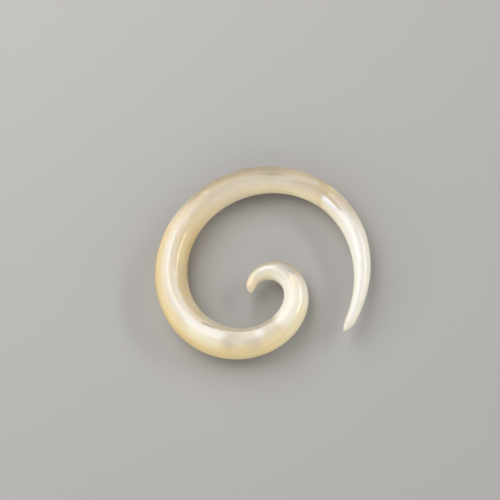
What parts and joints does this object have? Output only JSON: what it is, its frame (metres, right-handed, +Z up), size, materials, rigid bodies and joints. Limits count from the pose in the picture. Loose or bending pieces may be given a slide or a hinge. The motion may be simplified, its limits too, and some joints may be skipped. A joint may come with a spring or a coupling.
{
  "type": "spiral ear taper",
  "caption": "Spiral ear taper in polished shell: a round body that swells from a slim point over a wide turn to its gauge and thins into a small inward curl.",
  "frame": {"origin": "middle of the bounding box's underside, on the surface that the taper lies on", "axes": "+Z up, square to the flat of the spiral; +X along its longest way across; +Y towards the crown of the wide turn, with the curl's end and the point both below it"},
  "size_m": [0.0394, 0.0372, 0.006],
  "materials": {
    "pearl_shell": "polished mother-of-pearl, cream with white pearly bands and honey-coloured shade"
  },
  "bodies": {
    "root": {"spiral_taper": "pearl_shell"}
  },
  "joints": []
}
